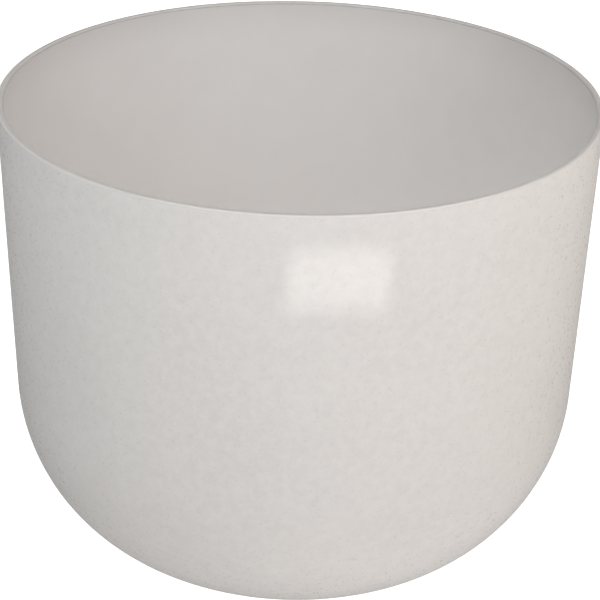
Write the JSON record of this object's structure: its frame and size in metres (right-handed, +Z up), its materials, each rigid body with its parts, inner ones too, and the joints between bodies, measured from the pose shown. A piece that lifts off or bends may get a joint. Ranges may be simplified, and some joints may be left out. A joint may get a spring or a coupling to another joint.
{
  "type": "singing bowl",
  "caption": "Frosted quartz singing bowl with tapered wall, flat-cut rim and round domed base, standing on a loose rubber O-ring.",
  "frame": {"origin": "centre of the ring's foot, on the table and on the bowl's axis", "axes": "+Z up along the bowl's axis; the object is round, so X and Y are any two directions in the table's plane"},
  "size_m": [0.3048, 0.3048, 0.261],
  "materials": {
    "frosted_quartz": "milky fused quartz, almost opaque: fine frosted grain outside, smooth satin inside, ground and polished lip",
    "black_rubber": "matt moulded rubber"
  },
  "bodies": {
    "ring": {"support_ring": "black_rubber"},
    "bowl": {"bowl": "frosted_quartz"}
  },
  "joints": [
    {"name": "bowl_lift", "type": "slide", "parent": "ring", "child": "bowl", "axis": [0, 0, 1], "range_m": [0, 0.12]}
  ]
}
